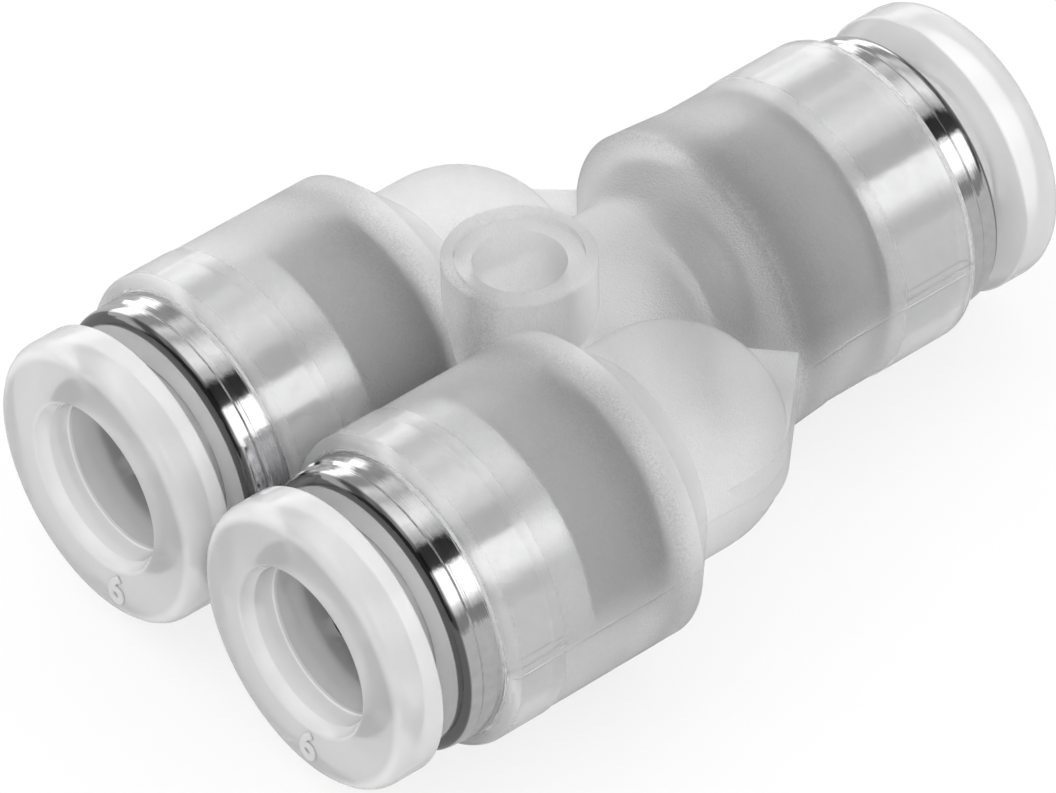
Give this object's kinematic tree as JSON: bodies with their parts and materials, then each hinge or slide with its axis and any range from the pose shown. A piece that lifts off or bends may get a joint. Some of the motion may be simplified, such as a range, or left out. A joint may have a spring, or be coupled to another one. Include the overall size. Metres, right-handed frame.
{
  "type": "tubing y connector",
  "caption": "Push-in Y connector that splits a tube into a parallel pair, with sliding release collars, steel retaining sleeves and a fixing eye through the middle.",
  "frame": {"origin": "middle of the fixing eye's hole, on the body's parting plane", "axes": "+Z along the eye's hole, +X out of the inlet, so both outlets open towards -X side by side along Y"},
  "size_m": [0.0369, 0.0242, 0.0128],
  "materials": {
    "body_plastic": "frosted, translucent natural polypropylene",
    "collar_plastic": "softly glossy, translucent natural polypropylene",
    "ring_plastic": "dark moulded acetal",
    "sleeve_steel": "polished stainless steel",
    "grip_steel": "stamped stainless spring steel",
    "seal_rubber": "moulded EPDM rubber"
  },
  "bodies": {
    "housing": {"y_body": "body_plastic", "outlet_left_sleeve": "sleeve_steel", "outlet_left_grip_ring": "grip_steel", "outlet_left_backing_ring": "ring_plastic", "outlet_left_seal": "seal_rubber", "outlet_right_sleeve": "sleeve_steel", "outlet_right_grip_ring": "grip_steel", "outlet_right_backing_ring": "ring_plastic", "outlet_right_seal": "seal_rubber", "inlet_sleeve": "sleeve_steel", "inlet_grip_ring": "grip_steel", "inlet_backing_ring": "ring_plastic", "inlet_seal": "seal_rubber"},
    "outlet_left_release": {"outlet_left_collar": "collar_plastic"},
    "outlet_right_release": {"outlet_right_collar": "collar_plastic"},
    "inlet_release": {"inlet_collar": "collar_plastic"}
  },
  "joints": [
    {"name": "outlet_left_release_slide", "type": "slide", "parent": "housing", "child": "outlet_left_release", "axis": [1, 0, 0], "range_m": [0, 0.001], "stiffness_N_per_m": 1500, "springref_m": -0.0005},
    {"name": "outlet_right_release_slide", "type": "slide", "parent": "housing", "child": "outlet_right_release", "axis": [1, 0, 0], "range_m": [0, 0.001], "stiffness_N_per_m": 1500, "springref_m": -0.0005},
    {"name": "inlet_release_slide", "type": "slide", "parent": "housing", "child": "inlet_release", "axis": [-1, 0, 0], "range_m": [0, 0.001], "stiffness_N_per_m": 1500, "springref_m": -0.0005}
  ]
}
